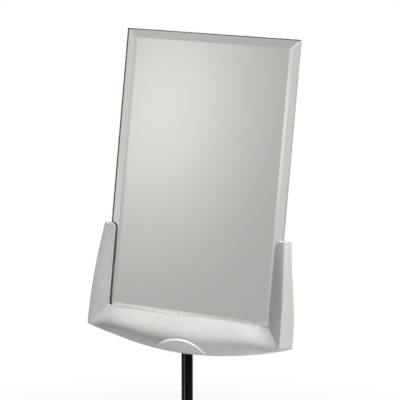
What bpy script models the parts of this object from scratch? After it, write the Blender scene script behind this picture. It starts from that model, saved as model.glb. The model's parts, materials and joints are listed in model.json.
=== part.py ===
"""Countertop mirror for an optician's counter: a bevelled mirror in a moulded cradle
that tilts on a friction hinge and swivels on a round stem in a weighted base.

Frame: metres, +Z up, origin under the centre of the base, mirror facing -Y.
The cradle is modelled square, in its own frame, and leaned back by its empty:
its x runs across, n runs forward from just behind the glass's bevel, v runs up from the glass's lower edge.
"""

from math import atan2, cos, pi, radians, sin, sqrt, tan

import bmesh
import bpy
from mathutils import Matrix, Vector

MM = 0.001
GAP = 0.3 * MM                      # clearance between pieces that touch
CUT = 40 * MM                       # how far a cutter runs past what it cuts
MERGE = 0.01 * MM                   # points of a turned body on its axis are joined

# Mirror
GLASS_WIDTH = 200 * MM
GLASS_HEIGHT = 300 * MM
GLASS_THICKNESS = 5 * MM
GLASS_BEVEL_WIDTH = 10 * MM
GLASS_BEVEL_DROP = 1.8 * MM
GLASS_FRONT = 2.4 * MM              # mirror's face in the cradle
BACKING_THICKNESS = 2 * MM
BACKING_INSET = 3 * MM
BOTTOM_PAD_LENGTH = 32 * MM
BOTTOM_PAD_HEIGHT = 3 * MM
BOTTOM_PAD_INSET = 40 * MM          # pad's middle from the glass's side
SIDE_PAD_THICKNESS = 1.5 * MM
SIDE_PAD_LENGTH = 50 * MM
SIDE_PAD_FOOT = 14 * MM             # lower end above the glass's lower edge

# Cradle, front view
LIP_OVERLAP = 6.8 * MM              # the arms' lips cover this much of the glass's edge
LIP_RISE = 7.3 * MM                 # and the apron's lip this much
LIP_BAND = 0.8 * MM                 # flat border of the lip
LIP_FRONT = 4.6 * MM
REAR_OVERLAP = 14 * MM              # rear flange behind the glass
ARM_HEIGHT = 94.6 * MM
ARM_TOP_RADIUS = 6 * MM
ARM_OUT_TOP = 4.7 * MM              # ridge outside the glass's edge
ARM_OUT_FOOT = 12.2 * MM
ARM_BOW_POWER = 1.8
APRON_DROP = 33.7 * MM              # apron's lower edge below the glass, at the middle
APRON_ARC_RADIUS = 355 * MM

# Cradle, depth
RIDGE_FRONT_TOP = 5.8 * MM
RIDGE_FRONT_FOOT = 12.3 * MM
RIDGE_BOW_POWER = 2.2
REAR_DEPTH_TOP = 12.8 * MM
REAR_DEPTH_FOOT = 21.4 * MM
APRON_EDGE = 9 * MM                 # lower edge of the rolled sill
APRON_BULGE = 8.5 * MM              # sill's crest before the line from lip to edge
APRON_DRAFT = 1.3 * MM              # its lower edge above the rear one
SEAM_DEPTH = 5 * MM                 # seam between the shells
RIDGE_RADIUS = 1 * MM
REAR_RADIUS = 2.5 * MM
WALL = 2.5 * MM
SILL_WALL = 3.5 * MM
CAVITY_INSET = 15 * MM              # its ends from the glass's side
FLOOR_RELIEF = 7.5 * MM             # how far the stem's slot is cut up into the apron

# Badge
BADGE_RADIUS = 43.5 * MM
BADGE_HEIGHT = 12.5 * MM
BADGE_THICKNESS = 2.5 * MM
BADGE_PROUD = 2.2 * MM
BADGE_FOOT = 3.7 * MM               # its chord above the sill's lower edge

# Tilt hinge
REST_TILT = radians(10.8)
TILT_FORWARD = radians(8)           # travel from rest
TILT_BACK = radians(14)
PIVOT_HEIGHT = 210 * MM
PIVOT_DROP = 19 * MM                # below the glass's lower edge
PIVOT_SETBACK = 2 * MM              # behind the cradle's datum
KNUCKLE_RADIUS = 8 * MM
KNUCKLE_LENGTH = 15 * MM
PIN_RADIUS = 3 * MM
PIN_HEAD_RADIUS = 5.5 * MM
PIN_HEAD_HEIGHT = 4 * MM
PIN_TAIL = 1.5 * MM                 # thread past the nut
WASHER_RADIUS = 8 * MM
WASHER_THICKNESS = 1 * MM
SPRING_RADIUS = 6 * MM
SPRING_THICKNESS = 0.8 * MM
SPRING_CONE = 0.5 * MM
NUT_WIDTH = 10 * MM
NUT_HEIGHT = 5 * MM
CHEEK_THICKNESS = 2 * MM
CHEEK_RADIUS = 8 * MM
BRACKET_WIDTH = 88 * MM
BRACKET_HEIGHT = 14 * MM
BRACKET_DEPTH = 11.2 * MM           # its front face behind the datum
BRACKET_SCREW_INNER = 28 * MM
BRACKET_SCREW_OUTER = 39 * MM
BRACKET_SCREW_DROP = 15 * MM        # below the glass's lower edge
SPIGOT_RADIUS = 4 * MM
SPIGOT_LENGTH = 26 * MM
CROSS_PIN_RADIUS = 1.25 * MM
CROSS_PIN_DROP = 11.5 * MM          # below the tilt axis

# Screws
SCREW_RADIUS = 1.5 * MM
SCREW_HEAD_RADIUS = 2.9 * MM
SCREW_HEAD_HEIGHT = 1.1 * MM
SCREW_CROWN_SHARE = 0.2             # of the head's radius, chamfered
SCREW_BITE = 9 * MM                 # length in its boss
BOSS_RADIUS = 4 * MM
COVER_SCREW_INSET = 30 * MM         # apron's screws from the glass's side
COVER_SCREW_DROP = 11 * MM          # and below its lower edge
ARM_SCREW_OUT = 6.7 * MM            # arms' screws outside the glass's side
ARM_SCREW_RISE = 9 * MM             # and above its lower edge

# Stem and base
STEM_RADIUS = 6 * MM
JOURNAL_RADIUS = 5 * MM
STEM_CLEARANCE = 0.9 * MM           # round the stem in the cradle's slot
BUSH_WALL = 2 * MM
BUSH_FLANGE_RADIUS = 10 * MM
BUSH_FLANGE_HEIGHT = 1.5 * MM
BUSH_LENGTH = 14 * MM
COLLAR_HEIGHT = 34 * MM
COLLAR_TOP_RADIUS = 12 * MM
COLLAR_FOOT_RADIUS = 25 * MM
COLLAR_FOOT_HEIGHT = 7 * MM
COLLAR_FILLET = 5 * MM
COLLAR_EDGE_RADIUS = 2 * MM
COLLAR_CHAMFER = 1 * MM
COLLAR_SCREW_CIRCLE = 18 * MM
COLLAR_SCREW_SKIN = 1.5 * MM        # left above a screw's hole
COLLAR_SCREW_COUNT = 3
COLLAR_SCREW_TURN = 0.25            # share of a pitch by which their circle is turned
BASE_RADIUS = 95 * MM
BASE_HEIGHT = 12 * MM
BASE_EDGE_RADIUS = 4 * MM
BASE_CHAMFER = 1 * MM
BASE_RECESS_RADIUS = 13 * MM
BASE_RECESS_HEIGHT = 8 * MM
PAD_RADIUS = 88 * MM
PAD_HEIGHT = 2 * MM
BOLT_RADIUS = 3 * MM
BOLT_LENGTH = 14 * MM
BOLT_HEAD_RADIUS = 5 * MM
BOLT_HEAD_HEIGHT = 3 * MM
BOLT_WASHER_RADIUS = 9 * MM
BOLT_WASHER_HEIGHT = 1.5 * MM

# Derived places
SLOT_SIDE = GLASS_WIDTH / 2 + SIDE_PAD_THICKNESS + 2 * GAP
SLOT_FLOOR = -(BOTTOM_PAD_HEIGHT + 2 * GAP)
GLASS_BACK = GLASS_FRONT - GLASS_THICKNESS
BEVEL_FOOT = GLASS_FRONT - GLASS_BEVEL_DROP
SLOT_FRONT = BEVEL_FOOT + GLASS_BEVEL_DROP * max(LIP_OVERLAP, LIP_RISE) / GLASS_BEVEL_WIDTH + 2 * GAP
SLOT_REAR = GLASS_BACK - BACKING_THICKNESS - 3 * GAP
BOSS_FRONT = (LIP_FRONT + APRON_EDGE - SILL_WALL) / 2 + APRON_BULGE   # bosses run into the sill's wall
LIP_SIDE = GLASS_WIDTH / 2 - LIP_OVERLAP
TIP_SIDE = GLASS_WIDTH / 2 + ARM_OUT_FOOT
PLATE_BOTTOM = PAD_HEIGHT + GAP
PLATE_TOP = PLATE_BOTTOM + BASE_HEIGHT
RECESS_TOP = PLATE_BOTTOM + BASE_RECESS_HEIGHT
COLLAR_BOTTOM = PLATE_TOP + GAP
COLLAR_TOP = COLLAR_BOTTOM + COLLAR_HEIGHT
SHOULDER = COLLAR_TOP + BUSH_FLANGE_HEIGHT + 2 * GAP
BUSH_BORE = JOURNAL_RADIUS + GAP
BUSH_RADIUS = BUSH_BORE + BUSH_WALL
BUSH_SEAT = BUSH_RADIUS + GAP
JOURNAL_END = RECESS_TOP - BUSH_FLANGE_HEIGHT - 2 * GAP
STEM_TOP = PIVOT_HEIGHT - KNUCKLE_RADIUS - GAP
CHEEK_INSIDE = KNUCKLE_LENGTH / 2 + WASHER_THICKNESS + 2 * GAP
CHEEK_OUTSIDE = CHEEK_INSIDE + CHEEK_THICKNESS
CAVITY_SIDE = GLASS_WIDTH / 2 - CAVITY_INSET
BEYOND = 2 * GLASS_WIDTH            # past the whole cradle, for the seam's cutters

# Shares and steps of the cradle's sweep
CREASE_SHARE = 0.3                  # of the ridge's radius, at its rounded crease
TAPER_SHARE = 0.85                  # of the arm's height over which its depth tapers
ROLL_SHARE = 0.3                    # of the apron's half over which the sill rolls up
FACE_SWELL = 0.55                   # how round the arms' faces are
CUBIC_PEAK = 2 / 27 ** 0.5           # greatest value of the sill's cubic
FACE_STEPS = 10
ROUND_STEPS = 4
HOLLOW_STEPS = 12
HOLLOW_FACE_STEPS = 8
ARM_SHARES = ((0.85, 0.8), (0.7, 0.65), (0.55, 0.5), (0.4, 0.35), (0.25, 0.1))   # lip, edge
APRON_SHARES = ((0.985, 0.5), (0.95, 0.3), (0.88, 0.12), (0.75, 0),              # lip, fan
                (0.6, 0), (0.45, 0), (0.3, 0), (0.15, 0))


def smooth(share):
    share = min(max(share, 0), 1)
    return share * share * (3 - 2 * share)


def mix(start, end, share):
    return start + (end - start) * share


# Scene, collections and materials

for item in list(bpy.data.objects):
    bpy.data.objects.remove(item)

parts = bpy.data.collections.new("countertop_mirror")
cutters = bpy.data.collections.new("cutters")
for group in (parts, cutters):
    bpy.context.scene.collection.children.link(group)


def material(name, colour, roughness, metallic=0.0):
    made = bpy.data.materials.new(name)
    made.use_nodes = True
    shader = made.node_tree.nodes["Principled BSDF"]
    shader.inputs["Base Color"].default_value = (*colour, 1)
    shader.inputs["Roughness"].default_value = roughness
    shader.inputs["Metallic"].default_value = metallic
    return made


SILVER_PLASTIC = material("silver_plastic", (0.62, 0.62, 0.60), 0.45)
BADGE_PLASTIC = material("badge_plastic", (0.55, 0.55, 0.53), 0.4)
MIRROR_GLASS = material("mirror_glass", (0.85, 0.87, 0.85), 0.02, 1.0)
BACKING_BOARD = material("backing_board", (0.12, 0.12, 0.12), 0.7)
RUBBER = material("rubber", (0.03, 0.03, 0.03), 0.8)
BLACK_GLOSS = material("black_gloss", (0.01, 0.01, 0.01), 0.15)
BLACK_POWDER = material("black_powder", (0.02, 0.02, 0.02), 0.5)
ZINC_STEEL = material("zinc_steel", (0.6, 0.6, 0.58), 0.35, 1.0)
NYLON = material("nylon", (0.75, 0.73, 0.68), 0.5)


# Building blocks

def empty(name, location, tilt=0.0):
    made = bpy.data.objects.new(name, None)
    made.location = location
    made.rotation_euler.x = -tilt
    parts.objects.link(made)
    return made


def part(name, mesh, finish, parent):
    made = bpy.data.objects.new(name, mesh)
    mesh.materials.append(finish)
    made.parent = parent
    parts.objects.link(made)
    return made


def cutter(name, mesh, parent):
    made = bpy.data.objects.new(name, mesh)
    made.parent = parent
    made.hide_render = True
    made.display_type = "WIRE"
    cutters.objects.link(made)
    return made


def boolean(target, tool, operation="DIFFERENCE"):
    step = target.modifiers.new(tool.name, "BOOLEAN")
    step.operation = operation
    step.object = tool
    step.solver = "EXACT"


def mesh_from(name, bm):
    bmesh.ops.recalc_face_normals(bm, faces=bm.faces)
    mesh = bpy.data.meshes.new(name)
    bm.to_mesh(mesh)
    bm.free()
    return mesh


def shade_round(mesh, angle=35):
    mesh.shade_smooth()
    mesh.set_sharp_from_angle(angle=radians(angle))


def box_mesh(name, low, high):
    bm = bmesh.new()
    low, high = Vector(low), Vector(high)
    middle, size = Matrix.Translation((low + high) / 2), Matrix.Diagonal((*(high - low), 1))
    bmesh.ops.create_cube(bm, size=1, matrix=middle @ size)
    return mesh_from(name, bm)


def cylinder_mesh(name, radius, start, end, segments=32):
    """Cylinder from one point to the other."""
    bm = bmesh.new()
    along = Vector(end) - Vector(start)
    turn = along.to_track_quat("Z", "Y").to_matrix().to_4x4()
    middle = Matrix.Translation((Vector(start) + Vector(end)) / 2)
    bmesh.ops.create_cone(bm, cap_ends=True, segments=segments, radius1=radius, radius2=radius,
                          depth=along.length, matrix=middle @ turn)
    return mesh_from(name, bm)


def turned(name, profile, finish, parent, segments=24, closed=False):
    """Solid of revolution about its own Z axis, from a profile of radius and height, top to bottom."""
    bm = bmesh.new()
    points = [bm.verts.new((radius, 0, height)) for radius, height in profile]
    pairs = list(zip(points, points[1:]))
    if closed:
        pairs.append((points[-1], points[0]))
    for pair in pairs:
        bm.edges.new(pair)
    mesh = bpy.data.meshes.new(name)
    bm.to_mesh(mesh)
    bm.free()
    made = part(name, mesh, finish, parent)
    spin = made.modifiers.new("turn", "SCREW")
    spin.steps = segments
    spin.render_steps = segments
    spin.use_merge_vertices = True
    spin.merge_threshold = MERGE
    spin.use_smooth_shade = True
    return made


def arc(centre_radius, centre_height, radius, start, end, steps):
    """Points on an arc of a turned profile, angles from +radius towards +height."""
    angles = [mix(start, end, index / steps) for index in range(steps + 1)]
    return [(centre_radius + radius * cos(a), centre_height + radius * sin(a)) for a in angles]


def loft(name, rings):
    """Closed body through rings of equal length."""
    bm = bmesh.new()
    loops = [[bm.verts.new(point) for point in ring] for ring in rings]
    for near, far in zip(loops, loops[1:]):
        for index in range(len(near)):
            after = (index + 1) % len(near)
            bm.faces.new((near[index], near[after], far[after], far[index]))
    bm.faces.new(loops[0])
    bm.faces.new(reversed(loops[-1]))
    return mesh_from(name, bm)


def screw(name, head_radius, head_height, shank_radius, length, finish, parent, location, rotation):
    """Low-headed screw, head up, with its head's seat at its origin."""
    crown = head_radius * SCREW_CROWN_SHARE
    profile = [(0, head_height), (head_radius - crown, head_height), (head_radius, head_height - crown),
               (head_radius, 0), (shank_radius, 0), (shank_radius, -length), (0, -length)]
    made = turned(name, profile, finish, parent, segments=16)
    made.location = location
    made.rotation_euler = rotation
    return made


# Cradle frame

def at(x, n, v):
    """Point of the cradle's own frame, about the tilt axis."""
    return Vector((x, -n - PIVOT_SETBACK, v + PIVOT_DROP))


def cradle_box(name, x_range, n_range, v_range):
    low = at(x_range[0], n_range[1], v_range[0])
    high = at(x_range[1], n_range[0], v_range[1])
    return box_mesh(name, low, high)


swivel = empty("swivel_axis", (0, 0, SHOULDER))
tilt = empty("tilt_axis", (0, 0, PIVOT_HEIGHT), REST_TILT)


# Cradle housing: a section swept round three sides of the glass, mitred at the lower corners

def apron_bottom(x):
    """Lower edge of the apron, an arc across its front."""
    return -APRON_DROP + APRON_ARC_RADIUS - sqrt(APRON_ARC_RADIUS ** 2 - x * x)


def arm_share(v):
    foot = apron_bottom(TIP_SIDE)
    return min(max((v - foot) / (ARM_HEIGHT - foot), 0), 1)


def arm_out(v):
    return mix(ARM_OUT_FOOT, ARM_OUT_TOP, arm_share(v) ** ARM_BOW_POWER)


def ridge_front(v):
    return mix(RIDGE_FRONT_FOOT, RIDGE_FRONT_TOP, arm_share(v) ** RIDGE_BOW_POWER)


def rear_depth(v):
    return mix(REAR_DEPTH_FOOT, REAR_DEPTH_TOP, smooth(v / (ARM_HEIGHT * TAPER_SHARE)))


def sill(share, edge):
    """How far the rolled sill stands forward, from its lip to its lower edge."""
    return mix(LIP_FRONT, edge, share) + APRON_BULGE * (share - share ** 3) / CUBIC_PEAK


def rear_corner(width, depth):
    """Rounded corner of the section between its side and its back."""
    angles = [-pi / 2 * index / ROUND_STEPS for index in range(ROUND_STEPS + 1)]
    return [(width - REAR_RADIUS * (1 - cos(a)), -depth + REAR_RADIUS * (1 + sin(a))) for a in angles]


def section(width, edge, depth, roll, notch=0.0, draft=0.0):
    """Ring of the housing: distance outward from the lip's edge, and height above the datum."""
    ring = [(notch, LIP_FRONT), (notch + LIP_BAND, LIP_FRONT)]
    front_width = width - draft
    face_end = front_width - RIDGE_RADIUS
    for index in range(1, FACE_STEPS + 1):
        share = index / FACE_STEPS
        plain = mix(LIP_FRONT, edge, mix(share, sin(pi / 2 * share), FACE_SWELL))
        ring.append((mix(notch + LIP_BAND, face_end, share), mix(plain, sill(share, edge), roll)))
    ring.append((front_width - RIDGE_RADIUS * CREASE_SHARE, edge - RIDGE_RADIUS * CREASE_SHARE))
    ring.append((front_width, edge - RIDGE_RADIUS))
    ring += rear_corner(width, depth)
    inner = LIP_OVERLAP - REAR_OVERLAP + notch
    ring += [(inner, -depth), (inner, SLOT_REAR), (notch, SLOT_REAR)]
    return ring


def arm_ring(v_lip, v_edge, notch=0.0):
    width = GLASS_WIDTH / 2 + arm_out(v_edge) - LIP_SIDE
    ring = section(width, ridge_front(v_edge), rear_depth(v_edge), 0.0, notch)
    shares = [min(max(w / width, 0), 1) for w, n in ring]
    return [(LIP_SIDE + w, n, mix(v_lip, v_edge, share)) for (w, n), share in zip(ring, shares)]


def corner_ring():
    arm = section(TIP_SIDE - LIP_SIDE, RIDGE_FRONT_FOOT, REAR_DEPTH_FOOT, 0.0)
    height = LIP_RISE - apron_bottom(TIP_SIDE)
    apron = section(height, RIDGE_FRONT_FOOT, REAR_DEPTH_FOOT, 0.0, draft=APRON_DRAFT)
    return [(LIP_SIDE + a[0], a[1], LIP_RISE - b[0]) for a, b in zip(arm, apron)]


def apron_ring(x_lip, x_edge):
    reach = smooth((TIP_SIDE - x_edge) / (TIP_SIDE * ROLL_SHARE))
    height = LIP_RISE - apron_bottom(x_edge)
    edge = mix(RIDGE_FRONT_FOOT, APRON_EDGE, reach)
    ring = section(height, edge, REAR_DEPTH_FOOT, reach, draft=APRON_DRAFT)
    shares = [min(max(w / height, 0), 1) for w, n in ring]
    return [(mix(x_lip, x_edge, share), n, LIP_RISE - w) for (w, n), share in zip(ring, shares)]


def housing_rings():
    """Rings from the top of the right arm down to the apron's middle."""
    rings = []
    for index in range(ROUND_STEPS + 1):
        angle = pi / 2 * (1 - index / ROUND_STEPS)
        v = ARM_HEIGHT - ARM_TOP_RADIUS * (1 - sin(angle))
        rings.append(arm_ring(v, v, ARM_TOP_RADIUS * (1 - cos(angle))))
    for lip_share, edge_share in ARM_SHARES:
        rings.append(arm_ring(ARM_HEIGHT * lip_share, ARM_HEIGHT * edge_share))
    rings.append(corner_ring())
    lip_end = GLASS_WIDTH / 2 - REAR_OVERLAP
    for share, fan in APRON_SHARES:
        x_lip = lip_end * share
        rings.append(apron_ring(x_lip, mix(x_lip, TIP_SIDE, fan)))
    return rings


def housing(name):
    right = housing_rings()
    left = [[(-x, n, v) for x, n, v in ring] for ring in reversed(right)]
    return loft(name, [[at(*point) for point in ring] for ring in right + left])


def cavity(name):
    """Hollow of the apron under the glass's channel, one wall inside the housing."""
    rings = []
    top = SLOT_FLOOR - WALL
    for index in range(HOLLOW_STEPS + 1):
        x = mix(CAVITY_SIDE, -CAVITY_SIDE, index / HOLLOW_STEPS)
        foot = apron_bottom(x) + APRON_DRAFT
        height, bottom = LIP_RISE - foot, foot + WALL
        ring = []
        for step in range(HOLLOW_FACE_STEPS + 1):
            v = mix(top, bottom, step / HOLLOW_FACE_STEPS)
            ring.append((x, sill((LIP_RISE - v) / height, APRON_EDGE) - SILL_WALL, v))
        ring += [(x, -REAR_DEPTH_FOOT + WALL, bottom), (x, -REAR_DEPTH_FOOT + WALL, top)]
        rings.append([at(*point) for point in ring])
    return loft(name, rings)


def stem_slot():
    """Slot in the cradle's floor that the stem swings through, over the whole tilt."""
    drop = APRON_DROP - PIVOT_DROP
    most, least = REST_TILT + TILT_BACK, REST_TILT - TILT_FORWARD
    rear = -PIVOT_SETBACK - drop * tan(most) - STEM_RADIUS / cos(most) - STEM_CLEARANCE
    front = -PIVOT_SETBACK - drop * tan(least) + STEM_RADIUS / cos(least) + STEM_CLEARANCE
    side = STEM_RADIUS + STEM_CLEARANCE
    heights = (-APRON_DROP - CUT, -APRON_DROP + FLOOR_RELIEF)
    return cradle_box("stem_slot", (-side, side), (rear, front), heights)


def glass_channel():
    """Channel that holds the glass, its backing and its pads."""
    heights = (SLOT_FLOOR, GLASS_HEIGHT)
    return cradle_box("glass_channel", (-SLOT_SIDE, SLOT_SIDE), (SLOT_REAR, SLOT_FRONT), heights)


def seam_half(name, rear, front):
    """All of the cradle's space between two depths."""
    return cradle_box(name, (-BEYOND, BEYOND), (rear, front), (-BEYOND, BEYOND))


hollow = cutter("hollow", cavity("hollow"), tilt)
slot = cutter("stem_slot", stem_slot(), tilt)
channel = cutter("glass_channel", glass_channel(), tilt)
behind_seam = cutter("behind_seam", seam_half("behind_seam", -BEYOND, -SEAM_DEPTH), tilt)
before_seam = cutter("before_seam", seam_half("before_seam", -SEAM_DEPTH - GAP, BEYOND), tilt)

front_shell = part("front_shell", housing("front_shell"), SILVER_PLASTIC, tilt)
rear_cover = part("rear_cover", housing("rear_cover"), SILVER_PLASTIC, tilt)
for shell, half in ((front_shell, behind_seam), (rear_cover, before_seam)):
    shade_round(shell.data, 25)
    for tool in (hollow, channel, half, slot):
        boolean(shell, tool)


# Badge: a bare half-moon let into the sill's lower edge

def badge_frame():
    """Middle of the badge's chord on the sill, leaning as the sill does there."""
    edge = -APRON_DROP + APRON_DRAFT
    height, foot = LIP_RISE - edge, edge + BADGE_FOOT
    top = foot + BADGE_HEIGHT
    low, high = [sill((LIP_RISE - v) / height, APRON_EDGE) for v in (foot, top)]
    lean = atan2(high - low, top - foot)
    return Matrix.Translation(at(0, low, foot)) @ Matrix.Rotation(pi / 2 + lean, 4, "X")


def half_moon(name, grow, back, front):
    """Half-moon slab in the badge's plane: a disc cut off along its chord."""
    bm = bmesh.new()
    centre = Matrix.Translation((0, BADGE_HEIGHT - BADGE_RADIUS, (back + front) / 2))
    bmesh.ops.create_cone(bm, cap_ends=True, segments=128, radius1=BADGE_RADIUS + grow,
                          radius2=BADGE_RADIUS + grow, depth=front - back, matrix=centre)
    bmesh.ops.bisect_plane(bm, geom=bm.verts[:] + bm.edges[:] + bm.faces[:], plane_co=(0, -grow, 0),
                           plane_no=(0, -1, 0), clear_outer=True)
    bmesh.ops.holes_fill(bm, edges=[edge for edge in bm.edges if edge.is_boundary])
    bmesh.ops.transform(bm, matrix=badge_frame(), verts=bm.verts)
    return mesh_from(name, bm)


badge_back = BADGE_PROUD - BADGE_THICKNESS
part("half_moon_badge", half_moon("half_moon_badge", 0, badge_back, BADGE_PROUD), BADGE_PLASTIC, tilt)
badge_pocket = cutter("badge_pocket", half_moon("badge_pocket", GAP, badge_back - GAP, CUT), tilt)
boolean(front_shell, badge_pocket)


# Mirror, its backing and its pads

def mirror_mesh(name):
    """Glass plate whose front border is ground down to the bevel."""
    half = GLASS_WIDTH / 2
    low, high = at(-half, GLASS_FRONT, 0), at(half, GLASS_BACK, GLASS_HEIGHT)
    bm = bmesh.new()
    bm.from_mesh(box_mesh(name + "_blank", low, high))
    bm.faces.ensure_lookup_table()
    face = min(bm.faces, key=lambda item: item.calc_center_median().y)
    border = bmesh.ops.inset_region(bm, faces=[face], thickness=GLASS_BEVEL_WIDTH, use_even_offset=True)
    rim = {vert for item in border["faces"] for vert in item.verts} - set(face.verts)
    bmesh.ops.translate(bm, verts=list(rim), vec=(0, GLASS_BEVEL_DROP, 0))
    return mesh_from(name, bm)


def backing_mesh(name):
    half = GLASS_WIDTH / 2 - BACKING_INSET
    front = GLASS_BACK - GAP
    return cradle_box(name, (-half, half), (front - BACKING_THICKNESS, front),
                      (BACKING_INSET, GLASS_HEIGHT - BACKING_INSET))


part("mirror_glass", mirror_mesh("mirror_glass"), MIRROR_GLASS, tilt)
part("mirror_backing", backing_mesh("mirror_backing"), BACKING_BOARD, tilt)

pad_depth = (SLOT_REAR + GAP, SLOT_FRONT - GAP)
for side, hand in ((-1, "left"), (1, "right")):
    middle = side * (GLASS_WIDTH / 2 - BOTTOM_PAD_INSET)
    bottom_pad = cradle_box("bottom_pad", (middle - BOTTOM_PAD_LENGTH / 2, middle + BOTTOM_PAD_LENGTH / 2),
                            pad_depth, (SLOT_FLOOR + GAP, -GAP))
    part(f"bottom_pad_{hand}", bottom_pad, RUBBER, tilt)
    edges = sorted(side * (GLASS_WIDTH / 2 + GAP + thick) for thick in (0, SIDE_PAD_THICKNESS))
    side_pad = cradle_box("side_pad", edges, pad_depth, (SIDE_PAD_FOOT, SIDE_PAD_FOOT + SIDE_PAD_LENGTH))
    part(f"side_pad_{hand}", side_pad, RUBBER, tilt)


# Tilt hinge: bracket, pin, washers, springs and nut

def bracket_plate(name):
    front = -BRACKET_DEPTH
    top = -BRACKET_SCREW_DROP + BRACKET_HEIGHT / 2
    return cradle_box(name, (-BRACKET_WIDTH / 2, BRACKET_WIDTH / 2), (front - CHEEK_THICKNESS, front),
                      (top - BRACKET_HEIGHT, top))


def bracket_cheek(name, side):
    """Cheek of the bracket: an arm from the plate with a round end about the tilt axis."""
    inside, outside = side * CHEEK_INSIDE, side * CHEEK_OUTSIDE
    arm = cradle_box(name, sorted((inside, outside)), (-BRACKET_DEPTH - CHEEK_THICKNESS / 2, -PIVOT_SETBACK),
                     (-PIVOT_DROP - CHEEK_RADIUS, -PIVOT_DROP + CHEEK_RADIUS))
    return arm, cylinder_mesh(name + "_end", CHEEK_RADIUS, (inside, 0, 0), (outside, 0, 0), 40)


bracket = part("hinge_bracket", bracket_plate("hinge_bracket"), ZINC_STEEL, tilt)
for side, hand in ((-1, "left"), (1, "right")):
    for piece in bracket_cheek(f"cheek_{hand}", side):
        boolean(bracket, cutter(piece.name, piece, tilt), "UNION")
pin_reach = CHEEK_OUTSIDE + 2 * (SPRING_THICKNESS + SPRING_CONE + GAP) + GAP + NUT_HEIGHT + PIN_TAIL
pin_hole = cylinder_mesh("pin_hole", PIN_RADIUS + GAP, (-CUT, 0, 0), (CUT, 0, 0))
boolean(bracket, cutter("pin_hole", pin_hole, tilt))

ALONG_X = (0, pi / 2, 0)
pin_seat = -CHEEK_OUTSIDE - GAP
screw("hinge_pin", PIN_HEAD_RADIUS, PIN_HEAD_HEIGHT, PIN_RADIUS, pin_reach - pin_seat, ZINC_STEEL, tilt,
      (pin_seat, 0, 0), (0, -pi / 2, 0))

pin_bore = PIN_RADIUS + GAP
for side, hand in ((-1, "left"), (1, "right")):
    ring = [(pin_bore, WASHER_THICKNESS / 2), (WASHER_RADIUS, WASHER_THICKNESS / 2),
            (WASHER_RADIUS, -WASHER_THICKNESS / 2), (pin_bore, -WASHER_THICKNESS / 2)]
    washer = turned(f"friction_washer_{hand}", ring, NYLON, tilt, closed=True)
    washer.location.x = side * (KNUCKLE_LENGTH / 2 + GAP + WASHER_THICKNESS / 2)
    washer.rotation_euler = ALONG_X

spring_pitch = SPRING_THICKNESS + SPRING_CONE + GAP
for index, hand in enumerate(("inner", "outer")):
    ring = [(pin_bore, SPRING_CONE + SPRING_THICKNESS), (SPRING_RADIUS, SPRING_THICKNESS),
            (SPRING_RADIUS, 0), (pin_bore, SPRING_CONE)]
    spring = turned(f"disc_spring_{hand}", ring, ZINC_STEEL, tilt, closed=True)
    spring.location.x = CHEEK_OUTSIDE + GAP + index * spring_pitch
    spring.rotation_euler = ALONG_X

nut_seat = CHEEK_OUTSIDE + GAP + 2 * spring_pitch
nut_radius = NUT_WIDTH / 2 / cos(pi / 6)
nut_blank = cylinder_mesh("hinge_nut", nut_radius, (nut_seat, 0, 0), (nut_seat + NUT_HEIGHT, 0, 0), 6)
nut = part("hinge_nut", nut_blank, ZINC_STEEL, tilt)
boolean(nut, bpy.data.objects["pin_hole"])


# Screws that hold the bracket and the rear cover, with their bosses in the front shell

ALONG_N = (-pi / 2, 0, 0)           # turns a screw to point forward, head to the rear


def fasten(name, x, v, seat, boss_end, with_boss):
    """Screw from the rear at x and v; its head sits at depth seat, its boss ends at boss_end."""
    place = at(x, seat, v)
    length = boss_end - seat + SCREW_BITE
    screw(name, SCREW_HEAD_RADIUS, SCREW_HEAD_HEIGHT, SCREW_RADIUS, length, ZINC_STEEL, tilt, place, ALONG_N)
    if with_boss:
        boss = cylinder_mesh(name + "_boss", BOSS_RADIUS, at(x, boss_end, v), at(x, BOSS_FRONT, v), 24)
        boolean(front_shell, cutter(name + "_boss", boss, tilt), "UNION")
    hole_end = at(x, boss_end + SCREW_BITE + 2 * GAP, v)
    hole = cylinder_mesh(name + "_hole", SCREW_RADIUS + GAP, at(x, seat - CUT, v), hole_end, 20)
    hole = cutter(name + "_hole", hole, tilt)
    boolean(front_shell, hole)
    return hole


def counterbore(name, x, v, seat):
    sink = cylinder_mesh(name, SCREW_HEAD_RADIUS + GAP, at(x, -CUT, v), at(x, seat + GAP, v), 24)
    return cutter(name, sink, tilt)


bracket_rear = -BRACKET_DEPTH - CHEEK_THICKNESS
bracket_places = (-BRACKET_SCREW_OUTER, -BRACKET_SCREW_INNER, BRACKET_SCREW_INNER, BRACKET_SCREW_OUTER)
for index, x in enumerate(bracket_places, 1):
    name = f"bracket_screw_{index}"
    hole = fasten(name, x, -BRACKET_SCREW_DROP, bracket_rear - GAP, -BRACKET_DEPTH + GAP, True)
    boolean(bracket, hole)

cover_seat = -REAR_DEPTH_FOOT + SCREW_HEAD_HEIGHT + GAP
arm_x, apron_x = GLASS_WIDTH / 2 + ARM_SCREW_OUT, GLASS_WIDTH / 2 - COVER_SCREW_INSET
cover_spots = [(-arm_x, ARM_SCREW_RISE, False), (-apron_x, -COVER_SCREW_DROP, True),
               (apron_x, -COVER_SCREW_DROP, True), (arm_x, ARM_SCREW_RISE, False)]
for index, (x, v, with_boss) in enumerate(cover_spots, 1):
    name = f"cover_screw_{index}"
    boss_end = -REAR_DEPTH_FOOT + WALL + GAP if with_boss else -SEAM_DEPTH
    boolean(rear_cover, fasten(name, x, v, cover_seat, boss_end, with_boss))
    boolean(rear_cover, counterbore(name + "_sink", x, v, cover_seat))


# Stem: rod, tilt knuckle and their cross pin

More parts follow.
